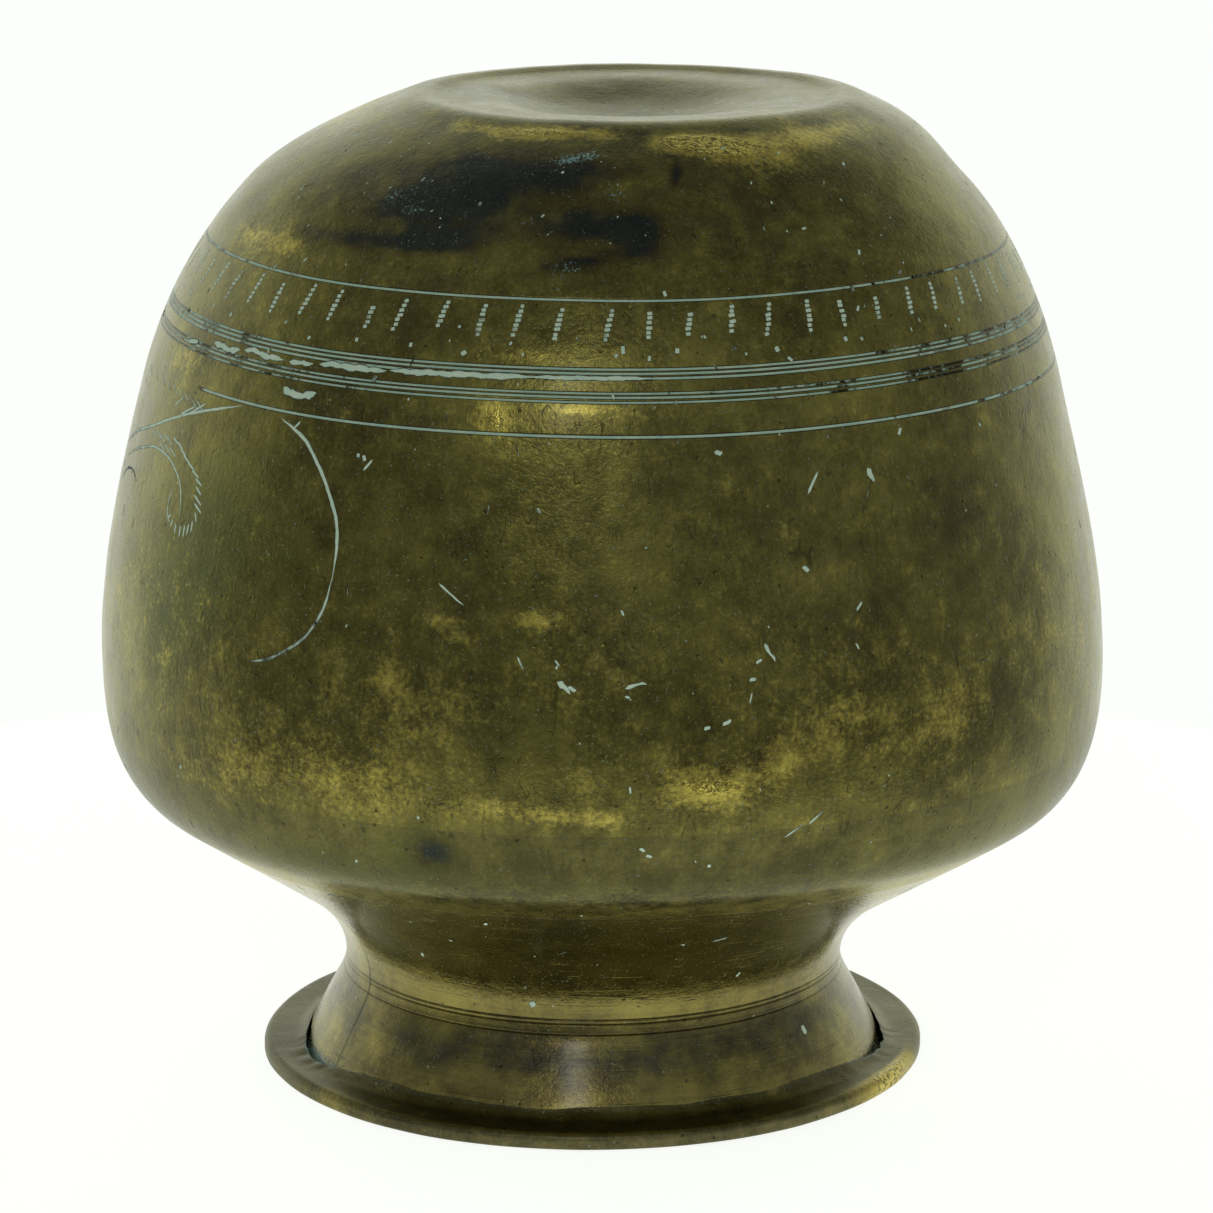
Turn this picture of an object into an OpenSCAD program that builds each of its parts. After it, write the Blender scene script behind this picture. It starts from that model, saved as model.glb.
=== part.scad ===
// Lota water pot in beaten sheet brass, standing on its mouth as it is stored.
// The origin is the centre of the mouth, +Z runs up to the base and -Y is the front.
// One path, from the middle of the base to the lip of the mouth, gives the outside of
// every sheet. A sheet is the band between two depths below that path, turned about Z.
// Where two sheets lap, the one nearer the mouth is set in behind the other on braze.

/* [Bowl] */
// Height from the mouth to the crest that the pot stands on when upright
height = 125.9; // [104:0.1:152]
// Radius of the belly at its widest
belly_r = 64.4; // [53.5:0.1:77.5]
// Height of the widest part above the mouth
belly_z = 54.3; // [50:0.1:60]
// Radius at the top of the flank, taken in from the belly
flank_inset = 5.9; // [4:0.1:9]
// Top of the flank, below the crest of the base
flank_drop = 36.5; // [30:0.1:42]
// Slope of the flank where it meets the curve of the base
flank_slope = 76.7; // [65:0.1:85]
// Radius of the crest that the pot stands on
crest_r = 26.5; // [20:0.1:32]
// Width of the flat worn on that crest
crest_land = 1; // [0.4:0.1:3]
// Width from the middle of the crest to the outside of its rounding
edge_w = 5; // [3:0.1:8]
// Drop of the rounding outside the crest
edge_drop = 1.5; // [0.8:0.1:3]
// Slope at the outer side of that rounding
edge_slope = 22.3; // [12:0.1:35]
// Depth of the hollow inside the crest
dish_depth = 3.6; // [1:0.1:6]

/* [Shoulder and neck] */
// Radius at the outer end of the straight shoulder, taken in from the belly
shoulder_inset = 6.4; // [4:0.1:10]
// Height of the outer end of the shoulder
shoulder_z = 36; // [32:0.1:42]
// Width of the curve from the throat out to the shoulder
neck_curve_w = 9; // [6:0.1:12]
// Height of the inner end of the shoulder
neck_curve_z = 25.4; // [22:0.1:29]
// Radius of the throat, the narrowest part of the neck
throat_r = 32.4; // [27:0.1:39]
// Height of the throat
throat_z = 13.2; // [11.5:0.1:15]
// Width gained between the throat and the straight flare
flare_w = 1.25; // [0.8:0.05:2]
// Height at which the straight flare begins
flare_z = 9.3; // [7.5:0.1:10.5]
// Slope of the flare
flare_slope = 62.5; // [50:0.5:75]

/* [Rim] */
// Width of the ring on the mouth
ring_w = 4.6; // [4:0.05:8]
// Space between the flare and the raw inner edge of the ring
ring_clear = 0.5; // [0.35:0.05:1.5]
// Outside radius of the bend from the flare into the flange
foot_bend = 0.9; // [0.5:0.1:1.5]
// Rounding of the ring's edge on the mouth side
edge_round = 0.6; // [0.2:0.05:0.9]
// Rounding of the ring's edge on the neck side
corner_round = 0.25; // [0.1:0.05:0.9]

/* [Sheet and joints] */
// Thickness of the sheet brass
sheet = 1; // [0.7:0.05:1.3]
// Thickness of the braze between two sheets
braze = 0.15; // [0.1:0.01:0.25]
// Length over which the bowl laps the shoulder
belly_lap = 5; // [3:0.1:7]
// Length over which the shoulder laps the neck collar
neck_lap = 4.5; // [3:0.1:6]
// Length over which a lapped sheet is set in
set_in = 2.5; // [1.5:0.1:4]
// Height of the seam between the bowl and the shoulder
belly_seam_z = 46.4; // [43:0.1:49]
// Radius of the seam between the shoulder and the collar, taken in from the belly
neck_seam_inset = 11; // [10:0.1:16]
// Width of the brazed seam that closes the collar
slit_w = 0.45; // [0.2:0.05:1]
// Direction of that seam round the pot, from +X
slit_angle = 208; // [0:1:359]

/* [Cut lines] */
// Width of an engraved line
line_w = 0.45; // [0.3:0.05:0.8]
// Depth of an engraved line
line_depth = 0.18; // [0.08:0.02:0.4]
// Drop of the top line below the crest
top_line_drop = 17.75; // [12:0.05:22]
// Drop of the middle of the upper group of three lines below the crest
upper_group_drop = 26.2; // [24:0.05:30]
// Drop of the middle of the lower group of three lines below the crest
lower_group_drop = 28.35; // [24:0.05:34]
// Drop of the lowest line below the crest
low_line_drop = 32.9; // [30:0.05:36]
// Spacing of the three lines in a group
group_pitch = 0.65; // [0.5:0.05:0.9]
// Spacing of the turned grooves at the throat
throat_pitch = 1.05; // [0.8:0.05:1.5]

/* [Hidden] */
$fn = 180;
// A curve gets one point for each so many degrees that it turns
degrees_a_point = 5;

// What follows from the sizes above
lapped = sheet + braze;
dish_r = crest_r - crest_land / 2;
dish_slope = 2 * atan(dish_depth / dish_r);
shoulder_r = belly_r - shoulder_inset;
neck_curve_r = throat_r + neck_curve_w;
shoulder_slope = 180 - atan2(shoulder_z - neck_curve_z, shoulder_r - neck_curve_r);
flare_r = throat_r + flare_w;
foot_r = flare_r + (flare_z - sheet) / tan(flare_slope);
foot_tangent = foot_bend * tan(flare_slope / 2);
ring_in_r = foot_r - braze / tan(flare_slope) + ring_clear;
rim_r = ring_in_r + ring_w;
rim_h = sheet + lapped;
flange_r = rim_r - lapped;
film_in_r = max(ring_in_r, foot_r + foot_tangent) + braze;

// The path's stations: radius, height, and slope below the horizontal going outwards
STATIONS = [
    [0, height - dish_depth, 0],
    [dish_r / 2, height - dish_depth / 2, -dish_slope],
    [dish_r, height, 0],
    [crest_r + crest_land / 2, height, 0],
    [crest_r + edge_w, height - edge_drop, edge_slope],
    [belly_r - flank_inset, height - flank_drop, flank_slope],
    [belly_r, belly_z, 90],
    [shoulder_r, shoulder_z, shoulder_slope],
    [neck_curve_r, neck_curve_z, shoulder_slope],
    [throat_r, throat_z, 90],
    [flare_r, flare_z, flare_slope],
    [foot_r - foot_tangent * cos(flare_slope), sheet + foot_tangent * sin(flare_slope), flare_slope],
    [foot_r + foot_tangent, sheet, 0],
    [flange_r, sheet, 0]];
LAST = len(STATIONS) - 1;
BELLY = 6;
SHOULDER = 7;
NECK_CURVE = 8;
THROAT = 9;

// Between two stations the path is one cubic curve, as near an arc as its ends allow
function stretch_of(u) = min(floor(u), LAST - 1);
function turn(i) = STATIONS[i + 1][2] - STATIONS[i][2];
function chord(i) = norm([for (k = [0:1]) STATIONS[i + 1][k] - STATIONS[i][k]]);
function reach(i) = abs(turn(i)) < 0.01 ? chord(i) / 3
    : chord(i) * 2 / 3 * tan(abs(turn(i)) / 4) / sin(abs(turn(i)) / 2);
function heading(i) = [cos(STATIONS[i][2]), -sin(STATIONS[i][2])];
function place(i) = [STATIONS[i][0], STATIONS[i][1]];
function poles(i) = [place(i), place(i) + reach(i) * heading(i),
    place(i + 1) - reach(i) * heading(i + 1), place(i + 1)];
function curve(p, t) = pow(1 - t, 3) * p[0] + 3 * pow(1 - t, 2) * t * p[1]
    + 3 * (1 - t) * t * t * p[2] + pow(t, 3) * p[3];
function slope(p, t) = 3 * pow(1 - t, 2) * (p[1] - p[0]) + 6 * (1 - t) * t * (p[2] - p[1])
    + 3 * t * t * (p[3] - p[2]);

// The place u is a station's number plus the share of the stretch that follows it
function point_at(u) = curve(poles(stretch_of(u)), u - stretch_of(u));
function way_at(u) = slope(poles(stretch_of(u)), u - stretch_of(u));
function outward(u) = [-way_at(u)[1], way_at(u)[0]] / norm(way_at(u));
function under(u, depth) = point_at(u) - depth * outward(u);
function along(u, distance) = u + distance / norm(way_at(u));

// The place where the path comes down to a height, between two places on it
function at_height(z, low, high, n = 30) = n == 0 ? (low + high) / 2
    : point_at((low + high) / 2)[1] > z ? at_height(z, (low + high) / 2, high, n - 1)
    : at_height(z, low, (low + high) / 2, n - 1);

// The places that a sheet's outline visits from one mark to the next
function steps(i) = max(1, ceil(abs(turn(i)) / degrees_a_point));
function between(a, b) = [for (i = [stretch_of(a):stretch_of(b)]) for (k = [0:steps(i) - 1])
    let (u = i + k / steps(i)) if (u > a + 0.001 && u < b - 0.001) u];
function walk(marks) = [marks[0],
    for (m = [1:len(marks) - 1]) each concat(between(marks[m - 1], marks[m]), [marks[m]])];
function skin(marks, depth) = [for (u = walk(marks)) under(u, depth)];
function back(points) = [for (k = [len(points) - 1:-1:0]) points[k]];

// Marks at the two laps: the end of the set-in tongue, the seam, the step just past it,
// and the end of the set
belly_seam = at_height(belly_seam_z, BELLY, SHOULDER);
belly_tongue = along(belly_seam, -belly_lap);
belly_step = along(belly_seam, braze);
belly_set = along(belly_seam, set_in);
neck_seam = SHOULDER + (neck_seam_inset - shoulder_inset) / (shoulder_r - neck_curve_r);
neck_tongue = along(neck_seam, -neck_lap);
neck_step = along(neck_seam, braze);
neck_set = along(neck_seam, set_in);

// A sheet that starts as a tongue behind the one before it and runs on to another mark
function tongued(tongue, seam, step, set, marks) = concat(
    skin([tongue, seam, step], lapped),
    skin(concat([step], marks), 0),
    back(skin(concat([set], marks), sheet)),
    back(skin([tongue, seam], lapped + sheet)));

// The braze behind a lap and in the fine gap that shows outside
function film(tongue, seam, step) = concat(
    skin([tongue, seam], sheet),
    skin([seam, step], 0),
    back(skin([tongue, seam, step], lapped)));

module turned(outline) {
    rotate_extrude() polygon(outline);
}

// A V cut by a graver at one place on the path
module cut_line(u) {
    above = line_depth;
    half = line_w / 2 * (line_depth + above) / line_depth;
    a = under(u, -above) + half * way_at(u) / norm(way_at(u));
    b = under(u, -above) - half * way_at(u) / norm(way_at(u));
    turned([a, b, under(u, line_depth)]);
}

module cut_drop(drop) {
    cut_line(at_height(height - drop, 3, BELLY));
}

// The bowl is raised from one disc, with its base dished and its flank engraved
module base_bowl() {
    marks = [0, belly_tongue, belly_seam];
    color([0.42, 0.34, 0.20]) difference() {
        turned(concat(skin(marks, 0), back(skin(marks, sheet))));
        cut_drop(top_line_drop);
        for (k = [-1:1]) cut_drop(upper_group_drop + k * group_pitch);
        for (k = [-1:1]) cut_drop(lower_group_drop + k * group_pitch);
        cut_drop(low_line_drop);
    }
}

module shoulder_shell() {
    color([0.40, 0.33, 0.17])
        turned(tongued(belly_tongue, belly_seam, belly_step, belly_set, [neck_tongue, neck_seam]));
}

// The collar is a strip bent round, closed by the seam and turned at the throat
module collar_sheet() {
    difference() {
        turned(tongued(neck_tongue, neck_seam, neck_step, neck_set, [LAST]));
        for (k = [-1:1]) cut_line(at_height(throat_z + 0.2 + k * throat_pitch, NECK_CURVE, LAST));
    }
}

module collar_slit() {
    rotate([0, 0, slit_angle]) translate([0, -slit_w / 2, -1])
        cube([belly_r, slit_w, belly_seam_z]);
}

module neck_collar() {
    color([0.45, 0.33, 0.20]) difference() {
        collar_sheet();
        collar_slit();
    }
}

module collar_braze() {
    color([0.70, 0.62, 0.40]) intersection() {
        collar_sheet();
        collar_slit();
    }
}

module belly_braze() {
    color([0.70, 0.62, 0.40]) turned(film(belly_tongue, belly_seam, belly_step));
}

module neck_braze() {
    color([0.70, 0.62, 0.40]) turned(film(neck_tongue, neck_seam, neck_step));
}

// A corner rounded by a quarter circle about its centre, from one direction to another
function quarter(x, y, r, from, to) = [for (k = [0:4])
    let (a = from + (to - from) * k / 4) [x + r * cos(a), y + r * sin(a)]];

// The ring lies on the flange and its edge is turned down round it
module rim_ring() {
    color([0.43, 0.33, 0.18]) turned(concat(
        [[ring_in_r, lapped], [rim_r - sheet, lapped], [rim_r - sheet, 0]],
        quarter(rim_r - edge_round, edge_round, edge_round, -90, 0),
        quarter(rim_r - corner_round, rim_h - corner_round, corner_round, 0, 90),
        [[ring_in_r, rim_h]]));
}

module rim_braze() {
    color([0.70, 0.62, 0.40]) turned([
        [film_in_r, sheet], [flange_r, sheet], [flange_r, braze],
        [flange_r + braze, braze], [flange_r + braze, lapped], [film_in_r, lapped]]);
}

base_bowl();
shoulder_shell();
neck_collar();
rim_ring();
belly_braze();
neck_braze();
collar_braze();
rim_braze();
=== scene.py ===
import bpy
import numpy as np
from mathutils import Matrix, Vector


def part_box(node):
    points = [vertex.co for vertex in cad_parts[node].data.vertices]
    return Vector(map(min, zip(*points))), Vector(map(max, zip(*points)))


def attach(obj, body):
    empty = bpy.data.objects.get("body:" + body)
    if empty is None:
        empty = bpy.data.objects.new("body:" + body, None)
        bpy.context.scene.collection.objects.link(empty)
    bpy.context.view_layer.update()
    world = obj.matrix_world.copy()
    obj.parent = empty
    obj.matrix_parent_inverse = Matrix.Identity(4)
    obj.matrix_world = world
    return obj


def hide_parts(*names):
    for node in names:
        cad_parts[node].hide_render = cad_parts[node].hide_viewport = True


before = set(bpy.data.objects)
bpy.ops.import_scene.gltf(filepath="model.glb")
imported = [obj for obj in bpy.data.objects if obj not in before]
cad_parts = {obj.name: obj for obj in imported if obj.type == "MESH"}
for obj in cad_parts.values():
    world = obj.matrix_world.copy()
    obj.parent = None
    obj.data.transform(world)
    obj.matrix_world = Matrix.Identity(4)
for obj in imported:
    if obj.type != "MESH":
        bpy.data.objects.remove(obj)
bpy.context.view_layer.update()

# ---- Bowl -------------------------------------------------------------------------------------
# The base, flank and belly of the pot, raised from one disc of sheet brass over a stake and left
# with broad hammer dents. The base is dished to stand on its crest, and the lines round the
# flank are cut with a graver. Every other sheet is fitted to this one.

MM = 0.001
bowl_low, bowl_high = np.array(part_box("base_bowl")) / MM
height = bowl_high[2]
belly_r = bowl_high[0]
belly_seam_height = bowl_low[2]
rim_high = np.array(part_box("rim_ring"))[1] / MM
rim_r = rim_high[0]
braze_gap = 0.15
sheet = (rim_high[2] - braze_gap) / 2
lapped = sheet + braze_gap

# The outside of the metal in millimetres, from the middle of the base to the lip of the mouth
dish_depth, dish_r, crest_out_r = 3.6, 26.0, 27.0
dish_slope = 2 * np.degrees(np.arctan(dish_depth / dish_r))
shoulder_r, shoulder_z = belly_r - 6.4, 36.0
curve_r, curve_z = 41.4, 25.4
shoulder_slope = 180 - np.degrees(np.arctan2(shoulder_z - curve_z, shoulder_r - curve_r))
throat_r, throat_z = 32.4, 13.2
flare_r, flare_z, flare_slope = throat_r + 1.25, 9.3, 62.5
foot_r = flare_r + (flare_z - sheet) / np.tan(np.radians(flare_slope))
foot_tangent = 0.9 * np.tan(np.radians(flare_slope / 2))
stations = np.array([
    [0, height - dish_depth, 0],
    [dish_r / 2, height - dish_depth / 2, -dish_slope],
    [dish_r, height, 0],
    [crest_out_r, height, 0],
    [31.5, height - 1.5, 22.3],
    [belly_r - 5.9, height - 36.5, 76.7],
    [belly_r, 54.3, 90],
    [shoulder_r, shoulder_z, shoulder_slope],
    [curve_r, curve_z, shoulder_slope],
    [throat_r, throat_z, 90],
    [flare_r, flare_z, flare_slope],
    [foot_r - foot_tangent * np.cos(np.radians(flare_slope)),
     sheet + foot_tangent * np.sin(np.radians(flare_slope)), flare_slope],
    [foot_r + foot_tangent, sheet, 0],
    [rim_r - lapped, sheet, 0]])


def heading(slope):
    """The unit direction (out, up) of a path that runs down at this slope in degrees."""
    return np.stack([np.cos(np.radians(slope)), -np.sin(np.radians(slope))], -1)


def path(place):
    """The path's points (radius, height) and directions at places counted in stations.

    Between two stations the path is one cubic curve. Its handles follow the two slopes, and
    their length is 2/3 of the chord times tan(turn / 4) / sin(turn / 2), which makes the curve
    as near an arc as its ends allow."""
    i = np.clip(np.floor(place).astype(int), 0, len(stations) - 2)
    t = (place - i)[..., None]
    start, end = stations[i], stations[i + 1]
    chord = np.hypot(*(end - start)[..., :2].T).T
    turn = np.maximum(np.radians(np.abs(end[..., 2] - start[..., 2])), 1e-3)
    reach = (chord * 2 / 3 * np.tan(turn / 4) / np.sin(turn / 2))[..., None]
    p0, p3 = start[..., :2], end[..., :2]
    p1 = p0 + reach * heading(start[..., 2])
    p2 = p3 - reach * heading(end[..., 2])
    point = (1 - t) ** 3 * p0 + 3 * (1 - t) ** 2 * t * p1 + 3 * (1 - t) * t * t * p2 + t ** 3 * p3
    way = 3 * (1 - t) ** 2 * (p1 - p0) + 6 * (1 - t) * t * (p2 - p1) + 3 * t * t * (p3 - p2)
    return point, way / np.linalg.norm(way, axis=-1, keepdims=True)


# Distances along the metal, from the middle of the base, are what the rest is measured in
places = np.linspace(0, len(stations) - 1, 9001)
path_points = path(places)[0]
path_lengths = np.concatenate([[0], np.cumsum(np.hypot(*np.diff(path_points, axis=0).T))])


def station_at(number):
    """The distance along the metal of a station."""
    return float(np.interp(number, places, path_lengths))


def down_to(level):
    """The distance along the metal at which the outside has come down to a height."""
    below_crest = places >= 3
    return np.interp(-level, -path_points[below_crest, 1], path_lengths[below_crest])


def ease(x, low, high):
    """Goes smoothly from 0 at low to 1 at high."""
    t = np.clip((x - low) / (high - low), 0, 1)
    return t * t * (3 - 2 * t)


def ripple(points, size, count, seed):
    """A sum of plane waves in space, with random directions and lengths near size, about -1 to 1."""
    rng = np.random.default_rng(seed)
    way = rng.normal(size=(3, count))
    way *= 2 * np.pi / size / rng.uniform(0.7, 1.4, count) / np.linalg.norm(way, axis=0)
    return np.sin(points @ way + rng.uniform(0, 6.28, count)).sum(-1) / np.sqrt(2 * count)


mouth_drift, mouth_rise = -1.25, 0.22


def on_pot(around, along, depth=0.0):
    """Points in millimetres on the hand-made pot.

    around is in degrees from the front towards the right, along is the distance along the metal
    and depth is measured into the metal. The path's point is moved out by the hammer dents, and in
    by the gutter inside the crest. The graver's lines wander, the crest sits off the axis and the
    mouth is not quite level."""
    around, along, depth = np.broadcast_arrays(around, along, depth)
    turn = np.radians(around)
    wander = 0.22 * np.sin(turn + 0.6) + 0.12 * np.sin(2 * turn + 2.1) + 0.05 * np.sin(7 * turn)
    band = ease(along, 46, 56) * (1 - ease(along, 77, 90))
    point, way = path(np.interp(along + wander * band, path_lengths, places))
    r, z = point[..., 0], point[..., 1]
    ideal = np.stack([r * np.sin(turn), -r * np.cos(turn), z], -1)
    beaten = 1 - 0.6 * ease(along, 112, 124)
    dents = 0.20 * ripple(ideal, 58, 12, 3) + 0.075 * beaten * ripple(ideal, 21, 22, 5)
    dents = dents + 0.028 * beaten * ripple(ideal, 8.5, 30, 7)
    dents = dents * (1 - 0.7 * ease(along, 150, 168)) - 0.12 - 0.1 * (1 - ease(along, 28, 60))
    out = dents * (1 - ease(along, 168, 178)) - depth
    out = out - 0.45 * ease(along, 17, 24.8) * (1 - ease(along, 24.8, 26.1))
    r, z = r - way[..., 1] * out, z + way[..., 0] * out
    drift = 0.45 * ease(z, 100, 116) + 3.2 * ease(z, 115, 126) + mouth_drift * (1 - ease(z, 8, 42))
    drift = drift - 0.2 * ease(z, 30, 44) * (1 - ease(z, 84, 104))
    lift = mouth_rise * (1 + np.sin(turn)) * (1 - ease(z, 2, 24))
    return np.stack([r * np.sin(turn) + drift, -r * np.cos(turn), z + lift], -1)


def make_piece(name, points, faces, smooth=True, **marks):
    """A mesh object of points in millimetres, of faces that are arrays of quads or triangles, and
    of marks, each a number for every point that its material reads by name."""
    points = points.reshape(-1, 3)
    mesh = bpy.data.meshes.new(name)
    sides = np.concatenate([np.full(len(f), f.shape[1]) for f in faces])
    corners = np.concatenate([f.ravel() for f in faces])
    mesh.vertices.add(len(points))
    mesh.vertices.foreach_set("co", (points * MM).ravel())
    mesh.loops.add(len(corners))
    mesh.loops.foreach_set("vertex_index", corners)
    mesh.polygons.add(len(sides))
    mesh.polygons.foreach_set("loop_start", np.concatenate([[0], np.cumsum(sides)[:-1]]))
    mesh.polygons.foreach_set("use_smooth", np.full(len(sides), smooth))
    mesh.update(calc_edges=True)
    mesh.set_sharp_from_angle(angle=np.radians(50))
    for mark, values in marks.items():
        layer = mesh.attributes.new(mark, "FLOAT", "POINT")
        layer.data.foreach_set("value", np.ascontiguousarray(values, dtype=np.float32).ravel())
    piece = bpy.data.objects.new(name, mesh)
    bpy.context.scene.collection.objects.link(piece)
    return piece


def turned_faces(rows, columns):
    """The quads of a closed section of rows points that goes all the way round in columns."""
    i, j = np.meshgrid(np.arange(rows), np.arange(columns), indexing="ij")
    i2, j2 = (i + 1) % rows, (j + 1) % columns
    return np.stack([i * columns + j, i2 * columns + j, i2 * columns + j2, i * columns + j2],
                    -1).reshape(-1, 4)


# Lines cut round the flank: drop below the crest, width, and how much of its fill is left
engraved = [(17.75, 0.54, 0.85), (25.2, 0.48, 0.85), (25.67, 0.5, 1.0), (26.18, 0.52, 1.05),
            (27.85, 0.44, 0.65), (28.3, 0.48, 0.85), (28.85, 0.44, 0.7), (32.7, 0.56, 1.05)]
line_depth = 0.16
line_places = np.array([down_to(height - drop) for drop, _, _ in engraved])


def cut_rows(start, end, step, lines):
    """Distances along the metal every step, with more across each line that is cut there. Two of
    them lie just outside its edges, so that the metal beside the cut stays flat."""
    plain = np.linspace(start, end, int(round((end - start) / step)) + 1)
    across = np.array([-1.2, -1.0, -0.5, 0.0, 0.5, 1.0, 1.2])
    cuts = np.sort(np.concatenate([place + width / 2 * across for place, width in lines]))
    cuts = cuts[np.append(np.diff(cuts) > 0.015, True)]
    clear = np.abs(plain[:, None] - cuts[None]).min(1) > 0.2
    clear[[0, -1]] = True
    return np.sort(np.concatenate([plain[clear], cuts]))


def cut_shape(along, lines):
    """How far into a V cut each distance is: 0 at its edges and 1 at its bottom."""
    shape = [1 - np.abs(along - place) / (width / 2) for place, width in lines]
    return np.clip(np.max(shape, axis=0), 0, 1)


# Wear, stains, and a little painted light: degrees from the front to the right, distance along
# the metal, half width, half height in millimetres, and strength
rubbed = [(-44, 31.2, 4, 1.4, 0.7), (-34, 31.3, 3, 1.0, 0.5), (-25, 31.8, 5, 1.6, 0.9),
          (-17, 31.0, 5, 1.4, 0.8), (-6, 31.3, 4, 1.3, 0.6), (9, 33.0, 3.5, 1.7, 1.2),
          (15, 33.6, 3.5, 2.2, 1.4), (21, 34.8, 3.5, 2.3, 1.2), (28, 37.4, 5, 3.0, 0.7),
          (36, 34.4, 6, 2.8, 0.7), (50, 33, 8, 3.0, 0.7), (-61, 54.6, 6, 2.2, 0.65),
          (-52, 54.0, 4, 2.0, 0.55), (-66, 71.5, 6, 2.2, 0.5), (-44, 118, 9, 5, 0.35),
          (-33, 116, 9, 4.5, 0.38), (-24, 118, 8, 4.0, 0.42), (-20, 109, 7, 4.0, 0.25),
          (-11, 118.3, 4, 1.4, 0.6), (-4.5, 118.9, 4, 1.1, 0.85), (0.5, 119.4, 3, 1.0, 0.8),
          (-2, 115, 3, 1.2, 0.4), (9, 115.3, 4, 2.8, 0.8), (13, 116, 3.5, 2.2, 0.9),
          (18, 114, 4, 3, 0.6), (25, 110, 6, 4, 0.45), (35, 112, 6, 3, 0.4), (42, 109, 5, 4, 0.4),
          # Band at 146 round the neck: its own gold-olive, raised as painted light against the shoulder's
          # shade
          (0, 146, 500, 10, 1.1), (0, 136, 500, 4, 0.4), (0, 161, 500, 6, 0.8), (-13, 71.6, 2.6, 2.2, 0.9),
          # Spot at -3, 70.9 below the lines: a painted glint, gold and smoother where a highlight falls
          (-13, 73.5, 2.4, 1.6, 0.5), (-10, 64.6, 4, 1.0, 0.6), (-3, 70.9, 4, 0.8, 0.9),
          (-6.7, 95.9, 2.8, 0.8, 1.0), (-17.6, 96.5, 3.4, 0.7, 0.8), (-14.5, 98.5, 2.4, 0.5, 0.6),
          (-23, 104, 2.2, 1.4, 0.5), (0, 104, 500, 9, 0.2), (96, 90, 20, 18, 0.3),
          (150, 118, 24, 7, 0.7), (190, 112, 20, 8, 0.6), (235, 117, 22, 6, 0.7), (130, 34, 14, 3, 0.7),
          (200, 33, 18, 3, 0.8), (265, 36, 14, 4, 0.6), (170, 60, 12, 6, 0.4), (120, 75, 10, 8, 0.3),
          (215, 84, 12, 9, 0.3)]
sooty = [(-48, 51.8, 4, 1.4, 1.1), (-38, 51.6, 6, 1.5, 1.3), (-29, 51.0, 6, 1.5, 1.4),
         (-22, 50.3, 5, 1.8, 1.0), (-43, 41, 7, 4, 0.6), (-31, 42.5, 6, 5, 0.45),
         (-38, 46.3, 7, 3.5, 0.85), (-30.8, 46.6, 6, 3.5, 0.85), (-24.5, 41, 7, 4.5, 1.0),
         (-22, 46.2, 7, 3, 0.7), (-32, 38.4, 6, 3.5, 0.85), (-15.6, 43, 6, 5, 0.7),
         (-11, 39, 7, 3.5, 0.8), (-4.5, 40, 5, 3.5, 0.7), (-6.5, 48, 7, 2.6, 1.0),
         (-0.5, 47, 6, 3, 1.0), (4.5, 48.5, 3, 2.6, 1.3), (5.8, 50.8, 3, 1.6, 0.8),
         (-11.5, 54.6, 2.5, 0.9, 0.8), (-7.9, 53.6, 3, 0.9, 1.2), (-3.7, 52.6, 3, 0.9, 1.2),
         (1, 51.9, 3.5, 0.9, 0.9), (9.8, 39.5, 0.7, 2.6, 1.6), (8.6, 36.0, 1.6, 0.7, 0.9),
         (1.5, 31, 2.0, 1.2, 1.2), (26.5, 31.1, 2.6, 0.8, 1.3), (45, 31.0, 5, 1.0, 0.9),
         (0, 174.5, 500, 6.5, 1.15), (0, 127, 500, 6, 0.22), (57, 82, 13, 24, 0.4),
         (0, 0, 500, 17, 0.9), (25, 44, 9, 6, 0.4), (62, 36, 10, 7, 0.5), (-58, 42, 11, 7, 0.45),
         (-18.5, 124.5, 3.6, 2.6, 1.2), (-10, 113.2, 3, 1.8, 0.7), (1.3, 98.7, 1.0, 1.4, 0.8),
         (-0.2, 104, 0.9, 2.2, 0.7), (-12, 98.1, 2.2, 1.8, 0.6), (9, 101.8, 3, 3, 0.4),
         (33, 97, 5, 6, 0.5), (39, 119.5, 2.5, 2.2, 0.7), (44, 93, 9, 20, 0.75), (27, 84, 9, 9, 0.4),
         (-3, 85, 9, 8, 0.35), (160, 45, 16, 5, 0.8), (200, 50, 12, 5, 0.6), (245, 96, 14, 9, 0.4),
         (110, 50, 12, 5, 0.5)]
greened = [(-50, 92, 9, 12, 0.9), (-58, 102, 8, 10, 0.8), (-36, 92, 6, 7, 0.5), (-20, 125, 5, 4, 0.9),
           (-33, 129, 8, 4, 0.6), (-9, 108, 10, 7, 0.4), (8, 96, 8, 10, 0.3), (0, 131, 500, 5, 0.35),
           (0, 6, 500, 12, 0.6), (140, 95, 20, 14, 0.5), (220, 100, 16, 12, 0.6), (265, 90, 14, 12, 0.6)]
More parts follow.
